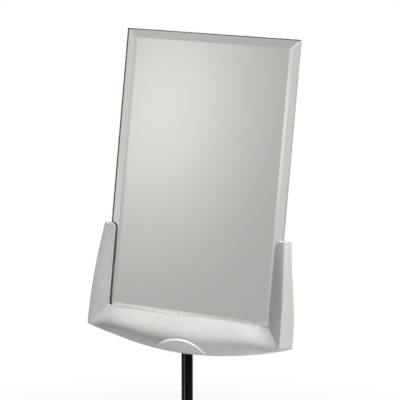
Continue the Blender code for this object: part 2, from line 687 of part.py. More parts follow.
spigot_end = STEM_TOP - SPIGOT_LENGTH
rod_profile = [(SPIGOT_RADIUS + GAP, STEM_TOP), (STEM_RADIUS, STEM_TOP), (STEM_RADIUS, SHOULDER),
               (JOURNAL_RADIUS, SHOULDER), (JOURNAL_RADIUS, JOURNAL_END), (BOLT_RADIUS + GAP, JOURNAL_END),
               (BOLT_RADIUS + GAP, JOURNAL_END + BOLT_LENGTH + GAP), (0, JOURNAL_END + BOLT_LENGTH + GAP)]
socket_profile = [(0, spigot_end - GAP), (SPIGOT_RADIUS + GAP, spigot_end - GAP)]
rod = turned("stem_rod", socket_profile + rod_profile, BLACK_GLOSS, swivel, segments=40)
rod.location.z = -SHOULDER

knuckle = part("tilt_knuckle", cylinder_mesh("tilt_knuckle", KNUCKLE_RADIUS, (-KNUCKLE_LENGTH / 2, 0, 0),
                                             (KNUCKLE_LENGTH / 2, 0, 0), 40), ZINC_STEEL, swivel)
knuckle.location.z = PIVOT_HEIGHT - SHOULDER
spigot = cutter("spigot", cylinder_mesh("spigot", SPIGOT_RADIUS, (0, 0, spigot_end - PIVOT_HEIGHT),
                                        (0, 0, -PIN_RADIUS - 2 * GAP)), knuckle)
boolean(knuckle, spigot, "UNION")
knuckle_bore = cutter("knuckle_bore", pin_hole.copy(), knuckle)
boolean(knuckle, knuckle_bore)


def across(name, radius, reach):
    """Cylinder through the stem from front to back, where the cross pin sits."""
    return cylinder_mesh(name, radius, (0, -reach, -CROSS_PIN_DROP), (0, reach, -CROSS_PIN_DROP), 16)


cross_end = sqrt(STEM_RADIUS ** 2 - CROSS_PIN_RADIUS ** 2)
part("cross_pin", across("cross_pin", CROSS_PIN_RADIUS, cross_end), ZINC_STEEL, knuckle)
cross_hole = cutter("cross_hole", across("cross_hole", CROSS_PIN_RADIUS + GAP, CUT), knuckle)
for piece in (rod, knuckle):
    boolean(piece, cross_hole)


# Base: swivel bushes, collar, weighted plate and foot pad

def bush(name, flange_seat, upward):
    """Flanged bush, modelled flange up, turned over where it enters from below."""
    profile = [(BUSH_BORE, BUSH_FLANGE_HEIGHT), (BUSH_FLANGE_RADIUS, BUSH_FLANGE_HEIGHT),
               (BUSH_FLANGE_RADIUS, 0), (BUSH_RADIUS, 0), (BUSH_RADIUS, -BUSH_LENGTH),
               (BUSH_BORE, -BUSH_LENGTH)]
    made = turned(name, profile, NYLON, None, segments=40, closed=True)
    made.location.z = flange_seat
    made.rotation_euler.x = 0 if upward else pi


bush("swivel_bush_upper", COLLAR_TOP + GAP, True)
bush("swivel_bush_lower", RECESS_TOP - GAP, False)

foot_top = COLLAR_BOTTOM + COLLAR_FOOT_HEIGHT
fillet, edge = COLLAR_FILLET, COLLAR_EDGE_RADIUS
collar_profile = [(BUSH_SEAT, COLLAR_TOP), (COLLAR_TOP_RADIUS - COLLAR_CHAMFER, COLLAR_TOP),
                  (COLLAR_TOP_RADIUS, COLLAR_TOP - COLLAR_CHAMFER)]
collar_profile += arc(COLLAR_TOP_RADIUS + fillet, foot_top + fillet, fillet, pi, 3 * pi / 2, 6)
collar_profile += arc(COLLAR_FOOT_RADIUS - edge, foot_top - edge, edge, pi / 2, 0, 4)
collar_profile += [(COLLAR_FOOT_RADIUS, COLLAR_BOTTOM), (BUSH_SEAT, COLLAR_BOTTOM)]
collar = turned("stem_collar", collar_profile, BLACK_POWDER, None, segments=48, closed=True)

edge = BASE_EDGE_RADIUS
plate_profile = [(BUSH_SEAT, PLATE_TOP)] + arc(BASE_RADIUS - edge, PLATE_TOP - edge, edge, pi / 2, 0, 5)
plate_profile += [(BASE_RADIUS, PLATE_BOTTOM + BASE_CHAMFER), (BASE_RADIUS - BASE_CHAMFER, PLATE_BOTTOM),
                  (BASE_RECESS_RADIUS, PLATE_BOTTOM), (BASE_RECESS_RADIUS, RECESS_TOP),
                  (BUSH_SEAT, RECESS_TOP)]
plate = turned("base_plate", plate_profile, BLACK_POWDER, None, segments=64, closed=True)

pad_profile = [(0, PAD_HEIGHT), (PAD_RADIUS, PAD_HEIGHT), (PAD_RADIUS, 0), (0, 0)]
turned("foot_pad", pad_profile, RUBBER, None, segments=64)

washer_top = JOURNAL_END - GAP
turned("stem_washer", [(BOLT_RADIUS + GAP, washer_top), (BOLT_WASHER_RADIUS, washer_top),
                       (BOLT_WASHER_RADIUS, washer_top - BOLT_WASHER_HEIGHT),
                       (BOLT_RADIUS + GAP, washer_top - BOLT_WASHER_HEIGHT)], ZINC_STEEL, swivel,
       closed=True).location.z = -SHOULDER
bolt_seat = washer_top - BOLT_WASHER_HEIGHT - GAP
screw("stem_bolt", BOLT_HEAD_RADIUS, BOLT_HEAD_HEIGHT, BOLT_RADIUS, BOLT_LENGTH, ZINC_STEEL, swivel,
      (0, 0, bolt_seat - SHOULDER), (pi, 0, 0))

for index in range(COLLAR_SCREW_COUNT):
    angle = 2 * pi * (index + COLLAR_SCREW_TURN) / COLLAR_SCREW_COUNT
    x, y = COLLAR_SCREW_CIRCLE * cos(angle), COLLAR_SCREW_CIRCLE * sin(angle)
    name = f"collar_screw_{index + 1}"
    seat = PLATE_BOTTOM + SCREW_HEAD_HEIGHT + GAP
    length = foot_top - COLLAR_SCREW_SKIN - GAP - seat
    screw(name, SCREW_HEAD_RADIUS, SCREW_HEAD_HEIGHT, SCREW_RADIUS, length, ZINC_STEEL, None,
          (x, y, seat), (pi, 0, 0))
    sink = cylinder_mesh(name + "_sink", SCREW_HEAD_RADIUS + GAP, (x, y, -CUT), (x, y, seat + GAP), 24)
    shaft = cylinder_mesh(name + "_shaft", SCREW_RADIUS + GAP, (x, y, -CUT), (x, y, seat + length + GAP), 20)
    boolean(plate, cutter(name + "_sink", sink, None))
    shaft = cutter(name + "_shaft", shaft, None)
    boolean(plate, shaft)
    boolean(collar, shaft)
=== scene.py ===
import json
from math import atan2, cos, hypot, pi, radians, sin

import bmesh
import bpy
from mathutils import Matrix, Vector


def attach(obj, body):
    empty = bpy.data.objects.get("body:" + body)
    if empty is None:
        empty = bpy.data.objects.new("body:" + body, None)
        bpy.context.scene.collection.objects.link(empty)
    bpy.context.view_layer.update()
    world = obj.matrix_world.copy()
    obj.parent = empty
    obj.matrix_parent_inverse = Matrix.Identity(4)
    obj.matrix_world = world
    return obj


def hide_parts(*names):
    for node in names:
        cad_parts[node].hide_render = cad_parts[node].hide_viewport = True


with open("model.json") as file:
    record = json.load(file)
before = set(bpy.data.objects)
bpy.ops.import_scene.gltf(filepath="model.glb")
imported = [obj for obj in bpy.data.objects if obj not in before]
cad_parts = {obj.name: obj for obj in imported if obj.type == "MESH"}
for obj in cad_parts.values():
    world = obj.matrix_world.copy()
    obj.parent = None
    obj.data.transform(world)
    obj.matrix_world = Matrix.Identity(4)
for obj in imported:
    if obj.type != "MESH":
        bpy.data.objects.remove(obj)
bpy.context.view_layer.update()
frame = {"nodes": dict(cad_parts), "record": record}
nodes = frame["nodes"]
print("frame loaded,", len(nodes), "nodes")

scene = bpy.context.scene
scene.view_settings.view_transform = "Standard"


# cameras and lamps look along their own -Z axis
def putAimed(name, data, spot, direction):
    made = bpy.data.objects.new(name, data)
    made.location = spot
    made.rotation_mode = "QUATERNION"
    made.rotation_quaternion = direction.to_track_quat("-Z", "Y")
    scene.collection.objects.link(made)
    return made


# camera, where the photo was taken from
cameraSet = {
    "place": (1.019, -1.943, 0.830),
    "forward": (-0.449, 0.869, -0.21),
    "lens": 196.9,
    "sensor": 36,
}


def buildCamera():
    eye = bpy.data.cameras.new("photoCamera")
    eye.lens = cameraSet["lens"]
    eye.sensor_width = cameraSet["sensor"]
    scene.camera = putAimed("photoCamera", eye, cameraSet["place"], Vector(cameraSet["forward"]))


buildCamera()
print("camera placed")


# helpers for shader trees: an input takes either a constant or a link from a socket
def fill(node, inputs):
    for label, value in inputs.items():
        if isinstance(value, bpy.types.NodeSocket):
            node.id_data.links.new(value, node.inputs[label])
        else:
            node.inputs[label].default_value = value


def addNode(tree, kind, inputs=None, **values):
    made = tree.nodes.new(kind)
    for name, value in values.items():
        setattr(made, name, value)
    fill(made, inputs or {})
    return made


def mathNode(tree, operation, *values):
    return addNode(tree, "ShaderNodeMath", dict(enumerate(values)), operation=operation).outputs[0]


def weighted(tree, first, firstShare, second, secondShare):
    return mathNode(tree, "ADD", mathNode(tree, "MULTIPLY", first, firstShare),
                    mathNode(tree, "MULTIPLY", second, secondShare))


def rangeNode(tree, value, span, ends, kind="LINEAR"):
    bounds = {"From Min": span[0], "From Max": span[1], "To Min": ends[0], "To Max": ends[1]}
    inputs = dict(bounds, Value=value)
    return addNode(tree, "ShaderNodeMapRange", inputs, interpolation_type=kind).outputs["Result"]


def objectCoords(tree):
    return addNode(tree, "ShaderNodeTexCoord").outputs["Object"]


def noise(tree, vector, scale, detail):
    inputs = {"Vector": vector, "Scale": scale, "Detail": detail}
    return addNode(tree, "ShaderNodeTexNoise", inputs).outputs["Fac"]


def newGroup(name, takes, gives):
    tree = bpy.data.node_groups.new(name, "ShaderNodeTree")
    tree.interface.new_socket("Vector", in_out="INPUT", socket_type="NodeSocketVector")
    for labels, direction in ((takes, "INPUT"), (gives, "OUTPUT")):
        for label in labels:
            tree.interface.new_socket(label, in_out=direction, socket_type="NodeSocketFloat")
    return tree, addNode(tree, "NodeGroupInput").outputs, addNode(tree, "NodeGroupOutput")


# spark-eroded grain of a moulding: a fine pebble with a softer swell under it
grainSet = {"pebbleDetail": 2, "swellDetail": 1, "swellShare": 0.6}


def buildMouldGrain():
    tree, given, put = newGroup("mouldGrain", ("Pitch", "Swell"), ("Height", "Speck"))
    pebble = noise(tree, given["Vector"], given["Pitch"], grainSet["pebbleDetail"])
    swell = noise(tree, given["Vector"], given["Swell"], grainSet["swellDetail"])
    low = mathNode(tree, "MULTIPLY", swell, grainSet["swellShare"])
    fill(put, {"Height": mathNode(tree, "ADD", pebble, low), "Speck": pebble})
    return tree


# traces of hands and cloth: slow patches and thin wipes
handlingSet = {
    "patchDetail": 3, "patchShare": 0.7,
    "wipeDetail": 2, "wipeShare": 0.3, "stretch": (1, 1, 0.15),
}


def buildHandling():
    tree, given, put = newGroup("handling", ("Patch", "Wipe"), ("Smear",))
    drawn = addNode(tree, "ShaderNodeMapping", {"Vector": given["Vector"], "Scale": handlingSet["stretch"]})
    patch = noise(tree, given["Vector"], given["Patch"], handlingSet["patchDetail"])
    wipe = noise(tree, drawn.outputs["Vector"], given["Wipe"], handlingSet["wipeDetail"])
    fill(put, {"Smear": weighted(tree, patch, handlingSet["patchShare"], wipe, handlingSet["wipeShare"])})
    return tree


mouldGrain = buildMouldGrain()
handling = buildHandling()


def bareMaterial(name):
    made = bpy.data.materials.new(name)
    made.use_nodes = True
    made.node_tree.nodes.clear()
    return made, made.node_tree, addNode(made.node_tree, "ShaderNodeOutputMaterial")


def newMaterial(name):
    made, tree, out = bareMaterial(name)
    shader = addNode(tree, "ShaderNodeBsdfPrincipled")
    fill(out, {"Surface": shader.outputs["BSDF"]})
    return made, tree, shader


def place(tree, group, **values):
    inputs = dict(values, Vector=objectCoords(tree))
    return addNode(tree, "ShaderNodeGroup", inputs, node_tree=group).outputs


noiseSpan = (0.3, 0.7)   # most of a noise's values lie in it


def twoTone(tree, mask, *colours):
    ramp = addNode(tree, "ShaderNodeValToRGB", {"Fac": mask})
    for stop, position, colour in zip(ramp.color_ramp.elements, noiseSpan, colours):
        stop.position = position
        stop.color = (*colour, 1)
    return ramp.outputs["Color"]


# a grained and handled finish, used with each piece's own values
smearShare, speckShare = 0.5, 0.5


def finish(name, settings):
    made, tree, shader = newMaterial(name)
    grain = place(tree, mouldGrain, Pitch=settings["pitch"], Swell=settings["swell"])
    smear = place(tree, handling, Patch=settings["patch"], Wipe=settings["wipe"])["Smear"]
    mottle = weighted(tree, smear, smearShare, grain["Speck"], speckShare)
    bump = {"Strength": settings["bump"], "Distance": settings["height"], "Height": grain["Height"]}
    fill(shader, {
        "Base Color": twoTone(tree, mottle, settings["dark"], settings["pale"]),
        "Roughness": rangeNode(tree, smear, noiseSpan, (settings["smooth"], settings["rough"])),
        "Normal": addNode(tree, "ShaderNodeBump", bump).outputs["Normal"],
        "Metallic": settings.get("metal", 0),
        "Specular IOR Level": settings["shine"],
    })
    return made


silverSet = {
    "dark": (0.470, 0.473, 0.455), "pale": (0.600, 0.603, 0.582),
    "smooth": 0.40, "rough": 0.50, "shine": 0.4,
    "pitch": 800, "swell": 90, "patch": 14, "wipe": 90, "bump": 0.25, "height": 0.0002,
}
badgeSet = {
    "dark": (0.65, 0.652, 0.634), "pale": (0.715, 0.717, 0.699),
    "smooth": 0.34, "rough": 0.42, "shine": 0.5,
    "pitch": 1800, "swell": 120, "patch": 30, "wipe": 160, "bump": 0.15, "height": 0.0002,
}
boardSet = {
    "dark": (0.085, 0.078, 0.070), "pale": (0.120, 0.110, 0.098),
    "smooth": 0.7, "rough": 0.85, "shine": 0.3,
    "pitch": 700, "swell": 160, "patch": 40, "wipe": 260, "bump": 0.5, "height": 0.0004,
}
rubberSet = {
    "dark": (0.018, 0.018, 0.018), "pale": (0.030, 0.030, 0.029),
    "smooth": 0.7, "rough": 0.85, "shine": 0.3,
    "pitch": 900, "swell": 120, "patch": 30, "wipe": 150, "bump": 0.4, "height": 0.0003,
}
enamelSet = {
    "dark": (0.002, 0.002, 0.0021), "pale": (0.003, 0.003, 0.0031),
    "smooth": 0.10, "rough": 0.18, "shine": 0.08,
    "pitch": 500, "swell": 80, "patch": 25, "wipe": 120, "bump": 0.04, "height": 0.0002,
}
powderSet = {
    "dark": (0.012, 0.012, 0.0122), "pale": (0.019, 0.019, 0.0192),
    "smooth": 0.42, "rough": 0.55, "shine": 0.5,
    "pitch": 900, "swell": 200, "patch": 12, "wipe": 60, "bump": 0.35, "height": 0.0003,
}
zincSet = {
    "dark": (0.50, 0.50, 0.48), "pale": (0.62, 0.62, 0.60),
    "smooth": 0.28, "rough": 0.42, "shine": 0.5,
    "pitch": 1500, "swell": 300, "patch": 80, "wipe": 500, "bump": 0.15, "height": 0.0002, "metal": 1,
}
nylonSet = {
    "dark": (0.66, 0.64, 0.58), "pale": (0.74, 0.72, 0.66),
    "smooth": 0.4, "rough": 0.55, "shine": 0.5,
    "pitch": 900, "swell": 150, "patch": 60, "wipe": 300, "bump": 0.2, "height": 0.0002,
}

finishes = {
    "silver_plastic": finish("silverPlastic", silverSet),
    "badge_plastic": finish("badgePlastic", badgeSet),
    "backing_board": finish("pressedBoard", boardSet),
    "rubber": finish("blackRubber", rubberSet),
    "black_gloss": finish("blackEnamel", enamelSet),
    "black_powder": finish("blackPowderCoat", powderSet),
    "zinc_steel": finish("zincPlate", zincSet),
    "nylon": finish("naturalNylon", nylonSet),
}
print("finishes made")


# helpers for pieces
def putMesh(name, shape):
    mesh = bpy.data.meshes.new(name)
    shape.to_mesh(mesh)
    shape.free()
    made = bpy.data.objects.new(name, mesh)
    scene.collection.objects.link(made)
    return made


def cutAway(piece, steps):
    for tool, operation in steps:
        step = piece.modifiers.new(tool.name, "BOOLEAN")
        step.operation = operation
        step.solver = "EXACT"
        step.object = tool
    done = bpy.data.meshes.new_from_object(piece.evaluated_get(bpy.context.evaluated_depsgraph_get()))
    piece.modifiers.clear()
    piece.data = done


def cuts(tools):
    return [(tool, "DIFFERENCE") for tool in tools]


def scrap(tools):
    for tool in tools:
        bpy.data.objects.remove(tool)


def dress(piece, body, finishName, *replaced, sharp=28):
    piece.data.materials.clear()
    piece.data.materials.append(finishes[finishName])
    piece.data.shade_smooth()
    piece.data.set_sharp_from_angle(angle=radians(sharp))
    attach(piece, body)
    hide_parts(*replaced)


def mix(start, end, share):
    return start + (end - start) * share


def ease(share):
    share = min(max(share, 0), 1)
    return share * share * (3 - 2 * share)


def shares(count):
    return [index / count for index in range(count + 1)]


# a profile of radius and height, turned about the upright axis
def turned(profile, segments, matrix=Matrix()):
    shape = bmesh.new()
    points = [shape.verts.new((radius, 0, height)) for radius, height in profile]
    edges = [shape.edges.new(pair) for pair in zip(points, points[1:])]
    bmesh.ops.spin(shape, geom=points + edges, cent=(0, 0, 0), axis=(0, 0, 1), angle=2 * pi,
                   steps=segments, use_merge=True)
    bmesh.ops.remove_doubles(shape, verts=shape.verts, dist=1e-7)
    bmesh.ops.recalc_face_normals(shape, faces=shape.faces)
    bmesh.ops.transform(shape, matrix=matrix, verts=shape.verts)
    return shape


# arc in a turned profile, angles from outward towards up
def roundOff(radius, height, size, start, end, steps):
    angles = [mix(start, end, share) for share in shares(steps)]
    return [(radius + size * cos(angle), height + size * sin(angle)) for angle in angles]


# quarter round at the upper outer corner of a turned profile
def outerRound(radius, height, size, steps):
    return roundOff(radius - size, height - size, size, pi / 2, 0, steps)


def boxShape(low, high, matrix):
    shape = bmesh.new()
    low, high = Vector(low), Vector(high)
    size = Matrix.Diagonal((*(high - low), 1))
    bmesh.ops.create_cube(shape, size=1, matrix=matrix @ Matrix.Translation((low + high) / 2) @ size)
    return shape


def peg(shape, radius, length, segments, matrix):
    bmesh.ops.create_cone(shape, cap_ends=True, segments=segments, radius1=radius, radius2=radius,
                          depth=length, matrix=matrix)


def roundEdges(shape, edges, size, steps):
    bmesh.ops.bevel(shape, geom=edges, offset=size, segments=steps, profile=0.5,
                    affect="EDGES", material=-1)


# the cradle's own frame: x across, n forward, v up from the glass's lower edge
leanSet = {"lean": radians(10.8), "pivotHeight": 0.210, "setBack": 0.002, "drop": 0.019}
pivot = Matrix.Translation((0, 0, leanSet["pivotHeight"]))
cradleMatrix = pivot @ Matrix.Rotation(-leanSet["lean"], 4, "X")


def local(x, n, v):
    return Vector((x, -n - leanSet["setBack"], v + leanSet["drop"]))


def inCradle(x, n, v):
    return cradleMatrix @ local(x, n, v)


# mirror: clear plate with a ground bevel and matte edges, silvered on its back up to a narrow sealed border
mirrorSet = {
    "half": 0.100, "height": 0.300, "thick": 0.005, "face": 0.0024, "bevelWide": 0.010, "bevelDrop": 0.0018,
    "arris": 0.0004, "arrisSteps": 2, "border": 0.0012, "sideLimit": 0.1,
    "glassTint": (0.955, 0.96, 0.957), "refraction": 1.5, "smudge": (0.0, 0.003),
    "glassPatch": 9, "glassWipe": 50,
    "silverTint": (0.935, 0.935, 0.93), "silverFade": 0.985, "silverPatch": 6, "silverWipe": 30,
    "borderTint": (0.14, 0.14, 0.135), "borderPale": (0.20, 0.20, 0.19),
    "edgeTint": (0.31, 0.325, 0.315), "edgePale": (0.38, 0.395, 0.385),
}
silverIndex, borderIndex, edgeIndex = 1, 2, 3   # places in the list that mirrorMaterials gives


def mirrorMaterials():
    glass, tree, shader = newMaterial("clearGlass")
    smear = place(tree, handling, Patch=mirrorSet["glassPatch"], Wipe=mirrorSet["glassWipe"])["Smear"]
    fill(shader, {
        "Base Color": (*mirrorSet["glassTint"], 1),
        "Transmission Weight": 1,
        "IOR": mirrorSet["refraction"],
        "Roughness": rangeNode(tree, smear, noiseSpan, mirrorSet["smudge"]),
    })
    silver, tree, shader = newMaterial("silvering")
    smear = place(tree, handling, Patch=mirrorSet["silverPatch"], Wipe=mirrorSet["silverWipe"])["Smear"]
    faded = [value * mirrorSet["silverFade"] for value in mirrorSet["silverTint"]]
    colour = twoTone(tree, smear, faded, mirrorSet["silverTint"])
    fill(shader, {"Base Color": colour, "Metallic": 1, "Roughness": 0})
    border = finish("edgeSeal", dict(rubberSet, dark=mirrorSet["borderTint"], pale=mirrorSet["borderPale"]))
    edge = finish("groundEdge", dict(silverSet, dark=mirrorSet["edgeTint"], pale=mirrorSet["edgePale"]))
    return glass, silver, border, edge


def insetFace(shape, face, wide):
    return bmesh.ops.inset_region(shape, faces=[face], thickness=wide, use_even_offset=True)["faces"]


def buildMirror():
    half, face, thick = mirrorSet["half"], mirrorSet["face"], mirrorSet["thick"]
    shape = boxShape(local(-half, face, 0), local(half, face - thick, mirrorSet["height"]), Matrix())
    front = min(shape.faces, key=lambda one: one.calc_center_median().y)
    back = max(shape.faces, key=lambda one: one.calc_center_median().y)
    ground = insetFace(shape, front, mirrorSet["bevelWide"])
    rim = {vert for one in ground for vert in one.verts} - set(front.verts)
    bmesh.ops.translate(shape, verts=list(rim), vec=(0, mirrorSet["bevelDrop"], 0))
    for one in insetFace(shape, back, mirrorSet["border"]):
        one.material_index = borderIndex
    back.material_index = silverIndex
    for one in shape.faces:
        one.normal_update()
        if abs(one.normal.y) < mirrorSet["sideLimit"]:
            one.material_index = edgeIndex
    arrises = [edge for edge in shape.edges if all(vert in rim for vert in edge.verts)]
    roundEdges(shape, arrises, mirrorSet["arris"], mirrorSet["arrisSteps"])
    bmesh.ops.transform(shape, matrix=cradleMatrix, verts=shape.verts)
    bmesh.ops.recalc_face_normals(shape, faces=shape.faces)
    made = putMesh("mirrorPlate", shape)
    for one in mirrorMaterials():
        made.data.materials.append(one)
    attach(made, "cradle")
    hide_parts("mirror_glass")


# board behind the glass
boardSize = {
    "half": 0.097, "front": -0.0029, "rear": -0.0049, "low": 0.003, "high": 0.297,
    "edge": 0.0006, "edgeSteps": 3,
}


def buildBoard():
    low = local(-boardSize["half"], boardSize["front"], boardSize["low"])
    high = local(boardSize["half"], boardSize["rear"], boardSize["high"])
    shape = boxShape(low, high, cradleMatrix)
    roundEdges(shape, shape.edges[:], boardSize["edge"], boardSize["edgeSteps"])
    dress(putMesh("backBoard", shape), "cradle", "backing_board", "mirror_backing")


buildMirror()
buildBoard()
print("mirror made")


# moulded cradle: one section swept round three sides of the glass, mitred at the lower corners
mould = {
    "glassHalf": 0.100, "lipOver": 0.0068, "lipRise": 0.0073,
    "lipBand": 0.0012, "lipFront": 0.0046, "lipUnder": 0.0025, "lipRound": 0.0007,
    "armHigh": 0.0946, "armRound": 0.006, "topRound": 0.0009,
    "outTop": 0.0047, "outFoot": 0.0122, "bow": 1.8,
    "ridgeTop": 0.0058, "ridgeFoot": 0.0123, "ridgeBow": 2.2, "ridgeRound": 0.0011,
    "apronDrop": 0.0337, "apronArc": 0.355, "apronEdge": 0.009, "apronRound": 0.0016,
    "bulge": 0.0221, "draft": 0.0013, "rollShare": 0.3, "swell": 0.55,
    "rearOver": 0.014, "rearTop": 0.0128, "rearFoot": 0.0214, "rearRound": 0.0025, "taper": 0.85,
    "seam": 0.005, "seamGap": 0.0003, "seamBreak": 0.0003,
    "slotSide": 0.1021, "slotFloor": -0.0036, "slotRear": -0.0055,
    "wall": 0.0025, "sillWall": 0.0035, "hollowHalf": 0.085, "cornerRound": 0.0018,
    "lipSteps": 3, "faceSteps": 24, "ridgeSteps": 5, "rearSteps": 8,
    "topSteps": 4, "neckSteps": 6, "armSteps": 14, "apronSteps": 24, "apronCrowd": 1.4,
    "cornerSteps": 4, "hollowSteps": 24, "hollowRise": 12,
}
lipSide = mould["glassHalf"] - mould["lipOver"]
tipSide = mould["glassHalf"] + mould["outFoot"]
faceFirst = mould["lipSteps"] + 2   # first and last points of the sloping face in a front section
faceLast = faceFirst + mould["faceSteps"]


def apronBottom(x):
    return -mould["apronDrop"] + mould["apronArc"] - (mould["apronArc"] ** 2 - x * x) ** 0.5


footHeight = apronBottom(tipSide)


def armShare(v):
    return min(max((v - footHeight) / (mould["armHigh"] - footHeight), 0), 1)


def rearDepth(v):
    return mix(mould["rearFoot"], mould["rearTop"], ease(v / (mould["armHigh"] * mould["taper"])))


def sill(share, edge):
    return mix(mould["lipFront"], edge, share) + mould["bulge"] * (share - share ** 3)


# how far forward the sill's face is at a height, given the apron's height from lip to foot
def sillAt(v, high):
    return sill((mould["lipRise"] - v) / high, mould["apronEdge"])


def quarter(steps):
    return [pi / 2 * index / steps for index in range(steps + 1)]


# how far the rounded top end of an arm draws back at a height: by its big corner, and by its small edge
def topRetreat(v):
    back = []
    for size in (mould["armRound"], mould["topRound"]):
        back.append(size - max(size ** 2 - max(v - mould["armHigh"] + size, 0) ** 2, 0) ** 0.5)
    return back


# section points: distance outward from the lip's edge, height before the glass
def frontSection(width, edge, roll, slot, rounding, notch=0.0, skin=0.0, draft=0.0):
    width, edge, lip, notch = width - skin - draft, edge - skin, mould["lipFront"] - skin, notch + skin
    small = mould["lipRound"]
    ring = [(notch, mould["lipUnder"])]
    for angle in quarter(mould["lipSteps"]):
        ring.append((notch + small * (1 - cos(angle)), lip - small * (1 - sin(angle))))
    start, end = notch + mould["lipBand"], width - rounding
    ring.append((start, lip))
    for share in shares(mould["faceSteps"])[1:]:
        swell = mix(lip, edge, mix(share, sin(pi / 2 * share), mould["swell"]))
        ring.append((mix(start, end, share), mix(swell, sill(share, edge), roll)))
    slope = (ring[-1][1] - ring[-2][1]) / (ring[-1][0] - ring[-2][0])
    bend = edge + slope * rounding
    for share in shares(mould["ridgeSteps"])[1:]:
        ring.append((mix(mix(end, width, share), width, share),
                     mix(mix(edge, bend, share), mix(bend, bend - rounding, share), share)))
    width += draft / 2
    ring += [(width, -mould["seam"] + mould["seamBreak"]), (width - mould["seamBreak"], -mould["seam"])]
    return ring + [(slot, -mould["seam"]), (slot, mould["lipUnder"])]


def rearSection(width, depth, slot, notch=0.0, skin=0.0, draft=0.0):
    width, notch, seamWidth = width - skin, notch + skin, width - skin - draft / 2
    split, small, big = -mould["seam"] - mould["seamGap"], mould["lipRound"], mould["rearRound"]
    ring = [(slot, split), (seamWidth - mould["seamBreak"], split), (seamWidth, split - mould["seamBreak"])]
    for angle in quarter(mould["rearSteps"]):
        ring.append((width - big * (1 - cos(angle)), -depth + big * (1 - sin(angle))))
    inner = mould["lipOver"] - mould["rearOver"] + notch
    for angle in quarter(mould["lipSteps"]):
        ring.append((inner + small * (1 - sin(angle)), -depth + small * (1 - cos(angle))))
    return ring + [(inner, mould["slotRear"]), (slot, mould["slotRear"])]


def armRing(kind, lipHeight, edgeHeight):
    share = armShare(edgeHeight)
    width = mould["glassHalf"] + mix(mould["outFoot"], mould["outTop"], share ** mould["bow"]) - lipSide
    notch, skin = topRetreat(lipHeight)
    slot = mould["slotSide"] - lipSide
    if kind == "front":
        ridge = mix(mould["ridgeFoot"], mould["ridgeTop"], share ** mould["ridgeBow"])
        ring = frontSection(width, ridge, 0, slot, mould["ridgeRound"], notch, skin)
    else:
        ring = rearSection(width, rearDepth(edgeHeight), slot, notch, skin)
    return [(lipSide + out, n, mix(lipHeight, edgeHeight, out / width)) for out, n in ring]


def cornerRing(kind):
    sections = []
    lip, edge, rounding = mould["lipRise"], mould["ridgeFoot"], mould["ridgeRound"]
    for span, slot, draft in (
            (tipSide - lipSide, mould["slotSide"] - lipSide, 0),
            (lip - footHeight, lip - mould["slotFloor"], mould["draft"])):
        if kind == "front":
            sections.append(frontSection(span, edge, 0, slot, rounding, draft=draft))
        else:
            sections.append(rearSection(span, mould["rearFoot"], slot, draft=draft))
    return [(lipSide + arm[0], arm[1], lip - apron[0]) for arm, apron in zip(*sections)]


def apronRing(kind, share):
    lipX, edgeX = lipSide * (1 - share), tipSide * (1 - share)
    reach = ease((tipSide - edgeX) / (tipSide * mould["rollShare"]))
    high = mould["lipRise"] - apronBottom(edgeX)
    slot = mould["lipRise"] - mould["slotFloor"]
    if kind == "front":
        edge = mix(mould["ridgeFoot"], mould["apronEdge"], reach)
        rounding = mix(mould["ridgeRound"], mould["apronRound"], reach)
        ring = frontSection(high, edge, reach, slot, rounding, draft=mould["draft"])
    else:
        ring = rearSection(high, mould["rearFoot"], slot, draft=mould["draft"])
    return [(mix(lipX, edgeX, out / high), n, mould["lipRise"] - out) for out, n in ring]


def cradleRings(kind):
    top, small, big = mould["armHigh"], mould["topRound"], mould["armRound"]
    heights = [top - small * (1 - cos(angle)) for angle in quarter(mould["topSteps"])]
    heights += [mix(top - small, top - big, share) for share in shares(mould["neckSteps"])[1:]]
    right = [armRing(kind, height, height) for height in heights]
    for share in shares(mould["armSteps"])[1:-1]:
        lipHeight = mix(top - big, mould["lipRise"], share)
        right.append(armRing(kind, lipHeight, mix(top - big, footHeight, share)))
    corner = len(right)
    right.append(cornerRing(kind))
    right += [apronRing(kind, share ** mould["apronCrowd"]) for share in shares(mould["apronSteps"])[1:]]
    left = [[(-x, n, v) for x, n, v in ring] for ring in reversed(right[:-1])]
    return right + left, (corner, len(right) + len(left) - 1 - corner)


# rings of points, bridged one to the next and closed at both ends
def sweep(rings):
    shape = bmesh.new()
    loops = []
    for ring in rings:
        points = [shape.verts.new(inCradle(*point)) for point in ring]
        loops.append([shape.edges.new((points[index - 1], points[index])) for index in range(len(points))])
    for near, far in zip(loops, loops[1:]):
        bmesh.ops.bridge_loops(shape, edges=near + far)
    for end in (loops[0], loops[-1]):
        bmesh.ops.contextual_create(shape, geom=end)
    bmesh.ops.recalc_face_normals(shape, faces=shape.faces)
    return shape, loops


# the outer foot of each arm is rounded where the sweep turns its corner
def roundCorners(shape, loops, corners, first, last):
    edges = []
    for corner in corners:
        edges += loops[corner][first:last]
    roundEdges(shape, edges, mould["cornerRound"], mould["cornerSteps"])


# the crease of each mitre stays crisp
def markMitres(piece, touching=1e-5):
    face = cornerRing("front")[faceFirst:faceLast + 1]
    spots = [inCradle(side * x, n, v) for side in (-1, 1) for x, n, v in face]
    near = [min((vert.co - spot).length for spot in spots) < touching for vert in piece.data.vertices]
    for edge in piece.data.edges:
        if all(near[index] for index in edge.vertices):
            edge.use_edge_sharp = True


